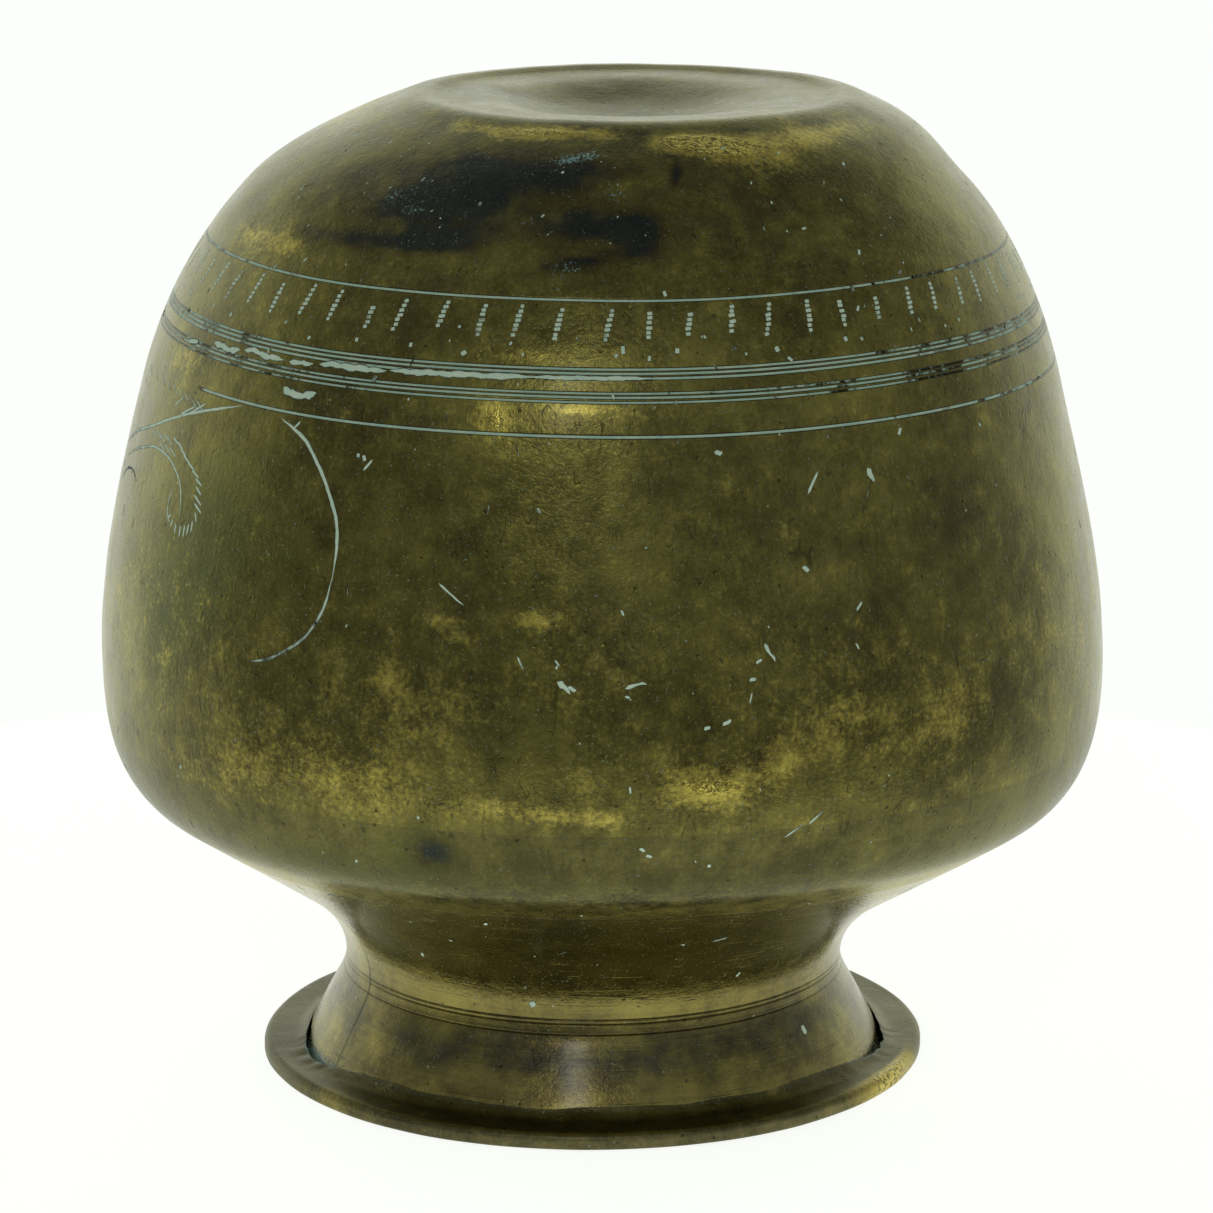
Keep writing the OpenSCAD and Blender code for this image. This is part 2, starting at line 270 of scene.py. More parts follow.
crusted = [(-50.3, 41.8, 1.6, 0.8, 0.35), (-37.9, 44.7, 2.6, 1.3, 0.35), (-32.5, 46.6, 1.7, 1.0, 0.55),
           (-31, 51.2, 5, 1.0, 0.15), (-16.7, 40.2, 0.7, 0.5, 0.6), (-12.7, 37.3, 1.7, 0.9, 0.65),
           (-10.3, 36.5, 1.4, 0.9, 0.85), (-7.2, 35.8, 1.2, 0.8, 0.8), (0, 42.6, 1.3, 1.1, 0.55),
           (-5.6, 53.1, 1.5, 0.7, 0.65), (-6.9, 54.5, 0.8, 0.5, 0.6), (-2.3, 113.4, 0.4, 0.3, 1.2),
           (-12, 12, 6, 2, 0.12), (12, 8, 5, 2, 0.1), (-70, 182.2, 8, 1.3, 0.8), (-58, 182.6, 6, 1.0, 0.7),
           (74, 182.4, 9, 1.0, 0.7), (160, 182.4, 30, 0.9, 0.7), (255, 182.4, 25, 0.9, 0.8),
           (-64, 176, 3, 3, 0.25), (-13.6, 167.2, 0.7, 0.5, 1.1), (175, 40, 4, 3, 0.4), (230, 47, 5, 2, 0.4)]


def patches(around, along, spots):
    """The sum of soft oval spots on the metal. Each is exp(-d^2), where d is the distance from its
    middle in half widths round the pot and half heights along the metal."""
    radius = np.interp(along, path_lengths, path_points[:, 0])
    total = np.zeros(np.broadcast(around, along).shape)
    for place, distance, half_width, half_height, strength in spots:
        off = np.radians((around - place + 180) % 360 - 180) * radius
        total += strength * np.exp(-(off / half_width) ** 2 - ((along - distance) / half_height) ** 2)
    return total


def worn(around, along):
    """The four marks that an aged sheet's material reads at each point."""
    return {"rubbed": patches(around, along, rubbed), "sooty": patches(around, along, sooty),
            "greened": patches(around, along, greened), "crusted": patches(around, along, crusted)}


columns = 450
around = np.arange(columns) * 360 / columns - 180
belly_seam = down_to(belly_seam_height)
bowl_lines = [(place, width) for place, (_, width, _) in zip(line_places, engraved)]
outer_rows = cut_rows(0.9, belly_seam - 0.06, 0.97, bowl_lines)
outer_rows = np.append(outer_rows, belly_seam)
inner_rows = np.append(belly_seam, np.linspace(belly_seam - 0.06, 2.0, 44))
along = np.concatenate([outer_rows, inner_rows])[:, None]
last_line = np.abs(outer_rows - bowl_lines[-1][0])[:, None] < 1
begun = 1 - ease(around, -112, -108) * (1 - ease(around, -59.5, -57))
cut = cut_shape(outer_rows, bowl_lines)[:, None] * np.where(last_line, begun, 1)
cut = np.concatenate([cut, np.zeros((len(inner_rows), columns))])
depth = cut * line_depth + (np.arange(len(along)) >= len(outer_rows))[:, None] * sheet
filled = np.concatenate([np.interp(outer_rows, line_places, [f for _, _, f in engraved]),
                         np.zeros(len(inner_rows))])
points = on_pot(around[None], along, depth).reshape(-1, 3)
middle = on_pot(np.zeros(2), np.zeros(2), np.array([0, sheet]))
polish_left = 0.34 + 0.72 * np.exp(-((around + 8) / 46) ** 2) + 0.4 * np.exp(-((around - 150) / 40) ** 2)
rows = len(along)
ring = np.arange(columns)
after = (ring + 1) % columns
base_fan = np.stack([np.full(columns, rows * columns), ring, after], -1)
inside_fan = np.stack([np.full(columns, rows * columns + 1), (rows - 1) * columns + after,
                       (rows - 1) * columns + ring], -1)
bowl_faces = turned_faces(rows, columns)[:(rows - 1) * columns]


def with_middle(values, low=0.0):
    """A mark's values on the grid with one more for each of the two middle points."""
    return np.append(np.broadcast_to(values, (rows, columns)).ravel(), [low, low])


bowl = make_piece(
    "bowl", np.concatenate([points, middle]), [bowl_faces, base_fan, inside_fan],
    cut=with_middle(cut),
    filled=with_middle(filled[:, None] * polish_left),
    **{mark: with_middle(values) for mark, values in worn(around[None], along).items()})


def linear(hex_colour):
    """An sRGB hex colour as linear red, green, blue and alpha."""
    s = np.array([int(hex_colour[i:i + 2], 16) for i in (0, 2, 4)]) / 255
    return (*np.where(s <= 0.04045, s / 12.92, ((s + 0.055) / 1.055) ** 2.4), 1.0)


def blank_tree(owner):
    """Turns nodes on for a material or a world, and gives its tree with nothing in it."""
    owner.use_nodes = True
    owner.node_tree.nodes.clear()
    return owner.node_tree


def add(tree, kind, sockets=(), **settings):
    """Adds a node with its own settings, and fills its sockets, given by name or in order, each
    with a value, another node's output, or a node, which stands for its first output."""
    made = tree.nodes.new("ShaderNode" + kind)
    for name, value in settings.items():
        setattr(made, name, value)
    for key, value in sockets.items() if isinstance(sockets, dict) else enumerate(sockets):
        if isinstance(value, bpy.types.Node):
            value = value.outputs[0]
        if isinstance(value, bpy.types.NodeSocket):
            tree.links.new(value, made.inputs[key])
        else:
            made.inputs[key].default_value = value
    return made


def aged_brass(name, dull, clear, gold, turned=0.0, beaten=1.0, roughness=0.3, shift=0.0,
               coat=0.12):
    """Household brass under a brown to olive patina, one material for each sheet's finish.

    The patina is mottled at 15 and 3 mm. Where hands and floors rub it, grainy gold shows, and
    soot and verdigris sit in spots; the same gold also paints a few highlights and lifts a little
    shade. Turned sheets have fine rings and beaten ones upright scratches. Polish dried pale in
    what is cut, whose walls are darkened with grime and painted shade. Sizes below are in millimetres."""
    made = bpy.data.materials.new(name)
    tree = blank_tree(made)
    smooth = {"interpolation_type": "SMOOTHSTEP"}
    where = add(tree, "TexCoord").outputs["Object"]
    where = add(tree, "VectorMath", [where, (1 / MM,) * 3], operation="MULTIPLY")
    where = add(tree, "VectorMath", [where, (shift,) * 3], operation="ADD")
    upright = add(tree, "VectorMath", [where, (1, 1, 0.12)], operation="MULTIPLY")
    rings = add(tree, "VectorMath", [where, (0.02, 0.02, 1)], operation="MULTIPLY")
    drawn = rings if turned > beaten else upright

    # Clouds of noise: what each is for, where it runs, its size, its detail and how rough it is
    cloud = {title: add(tree, "TexNoise", {"Vector": at, "Scale": 1 / size, "Detail": detail,
                                           "Roughness": rough})
             for title, at, size, detail, rough in [
                 ("broad", where, 15, 3.0, 0.6), ("mottle", where, 3.4, 6.0, 0.62),
                 ("grain", where, 0.5, 3.0, 0.7), ("flakes", where, 0.6, 2.0, 0.65),
                 ("strokes", upright, 0.55, 4.0, 0.7), ("fine rings", rings, 0.34, 4.0, 0.75),
                 ("broad rings", rings, 2.1, 3.0, 0.6), ("hairs", drawn, 1.9, 1.0, 0.4),
                 ("hairy", where, 5.0, 2.0, 0.6), ("crevices", where, 0.45, 2.0, 0.7),
                 ("soot", where, 6.5, 6.0, 0.65), ("stain", where, 4.0, 3.0, 0.6),
                 ("crust", where, 0.36, 3.0, 0.75), ("fill", where, 4.0, 6.0, 0.8),
                 ("tint", where, 2.2, 4.0, 0.7)]}
    mark = {title: add(tree, "Attribute", attribute_name=title).outputs["Fac"]
            for title in ("rubbed", "sooty", "greened", "crusted", "cut", "filled")}

    # Patina: brown-black where it is thick, olive where it is thin
    thin = add(tree, "Math", [cloud["broad"], 0.55], operation="MULTIPLY")
    thin = add(tree, "Math", [cloud["mottle"], 0.45, thin], operation="MULTIPLY_ADD")
    for title, share in [("strokes", 0.2 * beaten), ("grain", 0.36), ("fine rings", 0.2 * turned),
                         ("broad rings", 0.2 * turned)]:
        thin = add(tree, "Math", [cloud[title], share, thin], operation="MULTIPLY_ADD")
        thin = add(tree, "Math", [thin, share / 2], operation="SUBTRACT")
    thin = add(tree, "MapRange", [thin, 0.32, 0.7], **smooth)
    colour = add(tree, "Mix", {0: thin, 6: linear(dull), 7: linear(clear)}, data_type="RGBA").outputs[2]

    # Marks broken up by clouds, each by its share, and coming on from one level to another
    patchy, grainy = 0.4 + 1.1 * beaten, 0.3 + 1.3 * beaten
    broken = {}
    for title, at, clouds, low, high in [
            ("green", "greened", [("mottle", 1.0)], 0.15, 0.9),
            ("gold", "rubbed", [("mottle", patchy), ("flakes", grainy)], 0.1, 1.45),
            ("stain", "sooty", [("stain", 1.6)], 0.8, 1.5),
            ("crust", "crusted", [("crust", 4.4)], 0.55, 1.1),
            ("fill", "filled", [("fill", 2.0)], 0.3, 0.5)]:
        level = mark[at]
        for kind, share in clouds:
            level = add(tree, "Math", [cloud[kind], share, level], operation="MULTIPLY_ADD")
            level = add(tree, "Math", [level, share / 2], operation="SUBTRACT")
        broken[title] = add(tree, "MapRange", [level, low, high], **smooth)

    # Hair scratches, where two slopes of a long-drawn cloud meet
    hairs = add(tree, "Math", [cloud["hairs"], 0.5], operation="SUBTRACT")
    hairs = add(tree, "Math", [hairs], operation="ABSOLUTE")
    hairs = add(tree, "MapRange", [hairs, 0.014, 0.0], **smooth)
    hairy = add(tree, "MapRange", [cloud["hairy"], 0.48, 0.6], **smooth)
    hairs = add(tree, "Math", [hairs, hairy], operation="MULTIPLY")

    # Rubbed gold, also used as painted light in a few places: soft where it is thin, and grainy with
    # dark crevices where it is bare
    thin_gold = add(tree, "MapRange", [cloud["mottle"], 0.6, 0.74, 0.0, 0.2], **smooth)
    rub = add(tree, "Math", [broken["gold"], thin_gold], operation="MAXIMUM")
    bare = add(tree, "MapRange", [mark["rubbed"], 0.75, 1.3], **smooth)
    crevices = add(tree, "MapRange", [cloud["crevices"], 0.53, 0.42], **smooth)
    crevices = add(tree, "Math", [crevices, bare], operation="MULTIPLY")

    # Blue-black soot and stain, brown where it is thin
    soot = add(tree, "Math", [cloud["soot"], 2.4, -0.45], operation="MULTIPLY_ADD")
    soot = add(tree, "Math", [mark["sooty"], soot], operation="MULTIPLY")
    soot = add(tree, "Math", [cloud["grain"], 0.5, soot], operation="MULTIPLY_ADD")
    soot = add(tree, "MapRange", [soot, 0.2, 1.55], **smooth)
    stain = add(tree, "Mix", {0: broken["stain"], 6: linear("2f281a"), 7: linear("14212a")},
                data_type="RGBA").outputs[2]

    # Pits and pale specks: in a share of the cells of a Voronoi pattern, a dot at the middle
    dots = []
    for apart, edge, middle, channel, few, many in [(1.9, 0.16, 0.07, 0, 0.6, 0.75),
                                                    (3.1, 0.075, 0.03, 1, 0.7, 0.8)]:
        cells = add(tree, "TexVoronoi", {"Vector": where, "Scale": 1 / apart})
        chosen = add(tree, "SeparateColor", [cells.outputs["Color"]]).outputs[channel]
        chosen = add(tree, "MapRange", [chosen, few, many], **smooth)
        dot = add(tree, "MapRange", [cells.outputs["Distance"], edge, middle], **smooth)
        dots.append(add(tree, "Math", [dot, chosen], operation="MULTIPLY"))
    pits, specks = dots

    # Pale polish dried in the cuts. Their walls are dark with grime and painted shade, and so is the
    # bottom where the polish has fallen out
    cut_grime_and_shade = add(tree, "MapRange", [mark["cut"], 0.0, 0.2], **smooth)
    fill = add(tree, "MapRange", [mark["cut"], 0.38, 0.58], **smooth)
    fill = add(tree, "Math", [broken["fill"], fill], operation="MULTIPLY")
    tint = add(tree, "MapRange", [cloud["tint"], 0.3, 0.7], **smooth)
    polish = add(tree, "Mix", {0: tint, 6: linear("a2c8b8"), 7: linear("c3d6bf")},
                 data_type="RGBA").outputs[2]

    # Each lies over those before it: where it is, how much it hides, and its colour
    for place, hides, over in [
            (broken["green"], 0.55, linear("3f4a22")), (hairs, 0.5, linear("24240f")),
            (rub, 0.88, linear(gold)), (crevices, 0.8, linear("2f2b14")), (soot, 0.84, stain),
            (pits, 0.6, linear("15160c")), (specks, 0.6, linear("a9a988")),
            (broken["crust"], 0.8, linear("86b0b0")), (cut_grime_and_shade, 0.75, linear("1b1e15")),
            (fill, 1.0, polish)]:
        place = add(tree, "Math", [place, hides], operation="MULTIPLY")
        colour = add(tree, "Mix", {0: place, 6: colour, 7: over}, data_type="RGBA").outputs[2]

    dry = add(tree, "Math", [broken["crust"], 0.8], operation="MULTIPLY")
    dry = add(tree, "Math", [fill, dry], operation="MAXIMUM")
    metal = add(tree, "Math", [1.0, dry], operation="SUBTRACT")
    gloss = add(tree, "Math", [cloud["mottle"], 0.3, roughness - 0.15], operation="MULTIPLY_ADD")
    gloss = add(tree, "Math", [bare, -0.1, gloss], operation="MULTIPLY_ADD")
    gloss = add(tree, "Math", [dry, 0.4, gloss], operation="MULTIPLY_ADD")
    relief = add(tree, "Math", [bare, 0.16, 0.04], operation="MULTIPLY_ADD")
    relief = add(tree, "Math", [cloud["flakes"], relief], operation="MULTIPLY")
    for place, rise in [(cloud["mottle"], 0.14), (cloud["grain"], 0.05), (hairs, -0.04),
                        (cloud["strokes"], 0.022 * beaten), (cloud["fine rings"], 0.02 * turned),
                        (pits, -0.05), (dry, 0.04)]:
        relief = add(tree, "Math", [place, rise, relief], operation="MULTIPLY_ADD")
    bump = add(tree, "Bump", {"Strength": 0.8, "Distance": MM, "Height": relief})
    shader = add(tree, "BsdfPrincipled", {
        "Base Color": colour, "Metallic": metal, "Roughness": gloss, "Normal": bump,
        "Coat Weight": coat, "Coat Roughness": 0.18, "Specular Tint": linear("f6f7ea")})
    add(tree, "OutputMaterial", [shader])
    return made


def finish_piece(piece, material, slot, *nodes):
    """Gives a piece its material, its body and the nodes that it stands for. Its slot is not used."""
    piece.data.materials.append(material)
    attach(piece, "root")
    if nodes:
        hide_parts(*nodes)


# Beaten brass, never polished since: a mottled olive-brown skin, satin, with gold where it rubs
# and one spot of gold as a painted glint
finish_piece(bowl, aged_brass("beaten brass, olive patina", "4d4825", "79743a", "d0c05c"),
             "beaten_brass", "base_bowl")

# ---- Shoulder ---------------------------------------------------------------------------------
# The lower belly and shoulder, a second sheet raised separately. Its edge is set in by its own
# thickness and brazed inside the bowl, and it was scraped smooth on a pole lathe.

belly_lap, neck_lap, set_in = 5.0, 4.5, 2.5
neck_seam = down_to(float(np.interp(belly_r - 11.0 - curve_r, [0, shoulder_r - curve_r],
                                    [curve_z, shoulder_z])))


def turned_piece(name, outline, smooth=True):
    """A ring of metal: a closed outline of distances along the metal and depths, turned round."""
    along, depth = (np.array(v)[:, None] for v in zip(*outline))
    shape = (len(outline), columns)
    return make_piece(name, on_pot(around[None], along, depth), [turned_faces(*shape)], smooth,
                      cut=np.zeros(shape), filled=np.zeros(shape), **worn(around[None], along))


def run(start, end, depth, step=1.0):
    """Outline points from one distance to another at a depth, or from one depth to another. Two
    more lie next to its ends, so that the corners stay crisp."""
    share = np.linspace(0, 1, max(2, int(abs(end - start) / step) + 1))
    near = 0.06 / max(abs(end - start), 0.2)
    share = np.sort(np.append(share, [near, 1 - near]))
    first, last = np.broadcast_to(depth, 2)
    return list(zip(start + (end - start) * share, first + (last - first) * share))


shoulder = turned_piece("shoulder", (
    run(belly_seam - belly_lap, belly_seam + braze_gap, lapped)
    + run(belly_seam + braze_gap, neck_seam, 0.0, 0.7)
    + run(neck_seam, belly_seam + set_in, sheet, 1.5)
    + run(belly_seam, belly_seam - belly_lap, lapped + sheet)))

# Scraped brass: smoother than the bowl, with fine rings from the scraper
finish_piece(shoulder, aged_brass("scraped brass, olive patina", "474324", "6e6a38", "c2b45a",
                                  turned=0.5, beaten=0.6),
             "turned_brass", "shoulder_shell")

# ---- Braze between the sheets -----------------------------------------------------------------
# Spelter, a paler brass with more zinc, run with borax between the lapped sheets over charcoal.
# It fills the lap and shows as a hair line outside.


def film(seam, lap):
    """The outline of the braze behind a lap and in the fine gap that shows outside."""
    return (run(seam - lap, seam, sheet) + run(seam, seam + braze_gap, (0.0, 0.0))
            + run(seam + braze_gap, seam - lap, lapped))


# Spelter under the same skin as the sheets, a little greener than they are. At the neck it is
# painted near white, a painted highlight along the seam that shows as a fine pale line
spelter = aged_brass("dull spelter, olive patina", "474426", "6c693a", "b0a258", turned=0.5,
                     beaten=0.6)
belly_braze = turned_piece("belly_spelter", film(belly_seam, belly_lap), smooth=False)
neck_braze = turned_piece("neck_spelter", film(neck_seam, neck_lap), smooth=False)
finish_piece(belly_braze, spelter, "braze", "belly_braze")
# The neck spelter's near white colour is a painted highlight along the seam's step
finish_piece(neck_braze, aged_brass("pale spelter, rubbed", "c4cab0", "e0e4cc", "dcd8b0", turned=0.5,
                                    beaten=0.4), "braze", "neck_braze")

# ---- Neck collar ------------------------------------------------------------------------------
# A strip bent round into the waisted neck, closed by a brazed seam on the left and turned with
# three grooves at the throat. It flares into a flange that the rim ring is folded round.

slit_w, slit_place = 0.45, -62.0
throat_lines = [(down_to(throat_z + above), 0.32) for above in (0.25, -0.3, -1.55)]
lip = station_at(len(stations) - 1)
half_slit = np.degrees(slit_w / 2 / throat_r)
turns = np.linspace(slit_place + half_slit, slit_place + 360 - half_slit, columns)
turns = np.insert(turns, [1, columns - 1], [turns[0] + 0.1, turns[-1] - 0.1])
tongue = [d for d, _ in run(neck_seam - neck_lap, neck_seam + braze_gap - 0.02, 0, 0.8)]
body = cut_rows(neck_seam + braze_gap, lip, 0.62, throat_lines)
collar_along = np.concatenate([tongue, body])
outer_depth = np.concatenate([np.full(len(tongue), lapped), cut_shape(body, throat_lines) * 0.11])
inner_depth = np.interp(collar_along, [neck_seam, neck_seam + set_in], [lapped + sheet, sheet])


def strip_piece(name, turns, along, outer_depth, inner_depth, **marks):
    """A strip of sheet that doesn't close on itself: the outside, then the inside, then its ends."""
    along = np.concatenate([along, along[::-1]])[:, None]
    depth = np.concatenate([outer_depth, inner_depth[::-1]])[:, None]
    rows, columns = len(along), len(turns)
    k = np.arange(rows // 2 - 1)
    pair = rows - 1 - k
    start = np.stack([k, pair, pair - 1, k + 1], -1) * columns
    end = np.stack([k, k + 1, pair - 1, pair], -1) * columns + columns - 1
    skin = turned_faces(rows, columns).reshape(rows, columns, 4)[:, :-1].reshape(-1, 4)
    marks = {title: np.broadcast_to(values, (rows, columns)) for title, values in marks.items()}
    return make_piece(name, on_pot(turns[None], along, depth), [skin, start, end],
                      **marks, **worn(turns[None], along))


cut_twice = np.concatenate([cut_shape(collar_along, throat_lines), np.zeros(len(collar_along))])
collar = strip_piece("collar", turns, collar_along, outer_depth, inner_depth,
                     cut=cut_twice[:, None] * 0.11, filled=0.0)

# Turned brass gone brown: darker and warmer than the body, with crisp rings
finish_piece(collar, aged_brass("turned brass, brown patina", "61582e", "958b45", "b0a457",
                                turned=1.6, beaten=0.1, roughness=0.25, shift=90.0, coat=0.35),
             "neck_brass", "neck_collar")

seam_turns = np.linspace(slit_place - half_slit, slit_place + half_slit, 4)
collar_braze = strip_piece("collar_spelter", seam_turns, collar_along, outer_depth,
                           inner_depth, cut=cut_twice[:, None] * 0.11, filled=0.0)
finish_piece(collar_braze, spelter, "braze", "collar_braze")

# ---- Rim ring ---------------------------------------------------------------------------------
# A ring of sheet laid over the flange and hammered down round its edge. Its inner edge was left
# as the shears cut it, so it is jagged and stands off the neck, with verdigris in the gap.

ring_columns = 900
ring_turns = np.arange(ring_columns) * 360 / ring_columns - 180
ring_in_r = foot_r - braze_gap / np.tan(np.radians(flare_slope)) + 0.5
rim_h = sheet + lapped


def arc(r, z, radius, start, end, count):
    """Points (radius, height) on a circle about (r, z), from one angle to another."""
    t = np.radians(np.linspace(start, end, count))
    return list(zip(r + radius * np.cos(t), z + radius * np.sin(t)))


edge_round, shoulder_round = 0.6, 0.95
ring_section = ([(ring_in_r, lapped), (rim_r - sheet, lapped), (rim_r - sheet, 0.05)]
                + arc(rim_r - edge_round, edge_round, edge_round, -90, 0, 7)
                + arc(rim_r - shoulder_round, rim_h - shoulder_round, shoulder_round, 5, 90, 8)
                + [(r, rim_h) for r in np.linspace(rim_r - shoulder_round, ring_in_r + 0.05, 20)[1:]]
                + [(ring_in_r, rim_h - 0.06)])
ring_r, ring_z = (np.array(v)[:, None] for v in zip(*ring_section))
turn = np.radians(ring_turns)[None]
circle = np.stack([np.sin(turn), -np.cos(turn), 0 * turn], -1) * rim_r


def bump_at(place, half_width):
    """A soft bump of height 1 round the ring at one angle."""
    return np.exp(-(((ring_turns - place + 180) % 360 - 180) / half_width) ** 2)


loose = np.clip(bump_at(76, 15) + bump_at(-71, 15) + 0.8 * bump_at(160, 16) + bump_at(-140, 12), 0, 1)
raw = 0.24 * ripple(circle, 9, 10, 11) + 0.2 * ripple(circle, 2.6, 16, 12) + 0.5 * loose
inward = np.clip((rim_r - shoulder_round - ring_r) / (rim_r - shoulder_round - ring_in_r), 0, 1)
top = (ring_z > rim_h - 0.08) * (inward > 0) * 1.0
ring_r = ring_r + inward ** 3 * loose * (np.maximum(raw, -0.2) - 0.3)
ring_z = ring_z + inward ** 3 * 0.1 * loose

# Where it is tight, its top curves up into the flare and ends level with it
roll_r = 2.6
corner_r = foot_r - (rim_h - sheet) / np.tan(np.radians(flare_slope))
roll_start = corner_r + roll_r * np.tan(np.radians(flare_slope / 2))
flat_w = rim_r - shoulder_round - roll_start
run_in = inward * (flat_w + roll_r * np.radians(flare_slope))
rolled = np.maximum(run_in - flat_w, 0) / roll_r
tight_r = rim_r - shoulder_round - np.minimum(run_in, flat_w) - roll_r * np.sin(rolled)
tight_z = rim_h + roll_r * (1 - np.cos(rolled)) - 0.05 * ease(inward, 0.97, 1.0)
tight = top * (1 - loose) * ease(inward, 0.0, 0.02)
ring_r = ring_r * (1 - tight) + tight_r * tight
ring_z = ring_z * (1 - tight) + tight_z * tight
crease = top * ease(inward, 0.1, 1.0) * 0.14 * loose * np.abs(ripple(circle, 4, 12, 13))
droop = -0.1 * loose * top * ease(inward, 0.0, 0.4) * (1 - ease(inward, 0.5, 1.0))
hammered = 0.1 * ripple(circle, 30, 8, 14) + 0.035 * ripple(circle, 7, 14, 15)
ring_r = ring_r + hammered * (1 - inward)
ring_z = ring_z + crease + droop + 0.05 * top * ripple(circle, 12, 10, 16)
ring_points = np.stack([ring_r * np.sin(turn) + mouth_drift, -ring_r * np.cos(turn),
                        ring_z + mouth_rise * (1 + np.sin(turn))], -1)
ring_shape = ring_points.shape[:2]
# Gold worn along the edge; at the right, at 64 degrees, it is partly a painted highlight
edge_wear_and_highlight = 1.5 * bump_at(64, 12) + 0.2 * bump_at(0, 60) + 0.3 * bump_at(180, 40) + 0.4 * bump_at(-50, 8)
outer = 1 - ease(inward, 0.0, 0.35)
ring_piece = make_piece(
    "lip_ring", ring_points, [turned_faces(*ring_shape)[:, ::-1]],
    cut=np.broadcast_to(0 * inward, ring_shape), filled=np.zeros(ring_shape),
    rubbed=np.broadcast_to(outer * edge_wear_and_highlight[None] * 0.9, ring_shape),
    sooty=np.broadcast_to(0.15 * inward, ring_shape),
    greened=np.zeros(ring_shape),
    crusted=np.broadcast_to(ease(inward, 0.8, 1.0) * (0.2 + 0.8 * loose), ring_shape))

# Rough sheet, handled and stood on: brown patina worn to gold along the edge, brightest at the
# right where it is partly a painted highlight
finish_piece(ring_piece, aged_brass("handled brass, worn edge", "46432b", "6a6442", "d2c060",
                                    turned=0.6, beaten=0.3, roughness=0.42, shift=140.0),
             "rim_brass", "rim_ring")

film_start = station_at(12) + braze_gap + 0.6
rim_braze = turned_piece("rim_spelter", run(film_start, lip, -braze_gap) + run(lip, film_start, 0.0))
finish_piece(rim_braze, spelter, "braze", "rim_braze")

# ---- Punched ticks ----------------------------------------------------------------------------
# Short upright columns struck with a small square punch between the top line and the group below
# it, and loose dots under them. Dried polish fills each mark and makes it pale.


def pads(name, around, along, width, length, lean=0.0, proud=0.03, **marks):
    """Small eight-sided pads on the metal, for marks that polish fills. Each has a ring under the
    skin, a ring level with it, a smaller ring that stands proud, and a middle point."""
    sides = 8
    corner = np.radians(np.arange(sides) * 45 + 22.5 + 15.5 * (-1.0) ** np.arange(sides))
    square = np.abs(np.cos(corner)) ** 6 + np.abs(np.sin(corner)) ** 6
    shape = np.stack([np.cos(corner), np.sin(corner)], -1) / square[:, None] ** (1 / 6)
    size = np.array([1.0, 1.0, 0.62, 0.0])[None, :, None]
    depth = np.array([0.25, 0.0, -proud, -proud])[None, :, None] + 0 * shape[None, None, :, 0]
    x = size * shape[None, None, :, 0] * np.reshape(width, (-1, 1, 1)) / 2
    y = size * shape[None, None, :, 1] * np.reshape(length, (-1, 1, 1)) / 2
    tilt = np.radians(np.broadcast_to(lean, np.shape(around)))[:, None, None]
    x, y = x * np.cos(tilt) - y * np.sin(tilt), x * np.sin(tilt) + y * np.cos(tilt)
    radius = np.interp(along, path_lengths, path_points[:, 0])[:, None, None]
    points = on_pot(np.degrees(x / radius) + np.reshape(around, (-1, 1, 1)),
                    y + np.reshape(along, (-1, 1, 1)), depth)
    count = len(points)
    middle = 3 * sides
    points = np.concatenate([points[:, :3].reshape(count, middle, 3), points[:, 3, :1]], 1)
    k = np.arange(sides)
    n = (k + 1) % sides
    quads = np.concatenate([np.stack([k + o, k + o + sides, n + o + sides, n + o], -1)
                            for o in (0, sides)])
    fan = np.stack([k + 2 * sides, 0 * k + middle, n + 2 * sides], -1)
    under = np.stack([0 * k, k, n], -1)[1:-1]
    first = (np.arange(count) * (middle + 1))[:, None, None]
    faces = [(first + f[None]).reshape(-1, f.shape[1]) for f in (quads, fan, under)]
    # The two outer rings have core 0, where the material paints shade round the mark
    core = np.tile(np.repeat([0.0, 1.0], [2 * sides, sides + 1]), count)
    marks = {title: np.repeat(values, middle + 1) for title, values in marks.items()}
    return make_piece(name, points, faces, core=core, **marks)


rng = np.random.default_rng(21)
tick_count = 66
tick_top, tick_pitch = 58.75, 0.6
tick_at = np.arange(tick_count) * 360 / tick_count - 180 + rng.normal(0, 0.45, tick_count)
tick_lean = rng.normal(9, 3.0, tick_count)
tick_first = tick_top + rng.normal(0, 0.22, tick_count)
step = np.arange(7)
size = np.array([0.7, 0.85, 1.0, 1.05, 1.0, 0.85, 0.7])[None] * rng.uniform(0.85, 1.15, (tick_count, 7))
struck = rng.random((tick_count, 7)) > np.array([0.25, 0.02, 0, 0, 0, 0.05, 0.35])
mark_along = tick_first[:, None] + step * tick_pitch + rng.normal(0, 0.04, (tick_count, 7))
radius = np.interp(mark_along, path_lengths, path_points[:, 0])
slip = -(step - 3) * tick_pitch * np.tan(np.radians(tick_lean))[:, None]
mark_around = tick_at[:, None] + np.degrees((slip + rng.normal(0, 0.04, slip.shape)) / radius)
strength = np.broadcast_to(rng.uniform(0.45, 1.0, tick_count)[:, None], size.shape)
ticks = pads("punched_ticks", mark_around[struck], mark_along[struck], 0.76 * size[struck],
             0.48, -tick_lean.repeat(7).reshape(-1, 7)[struck], pale=strength[struck])


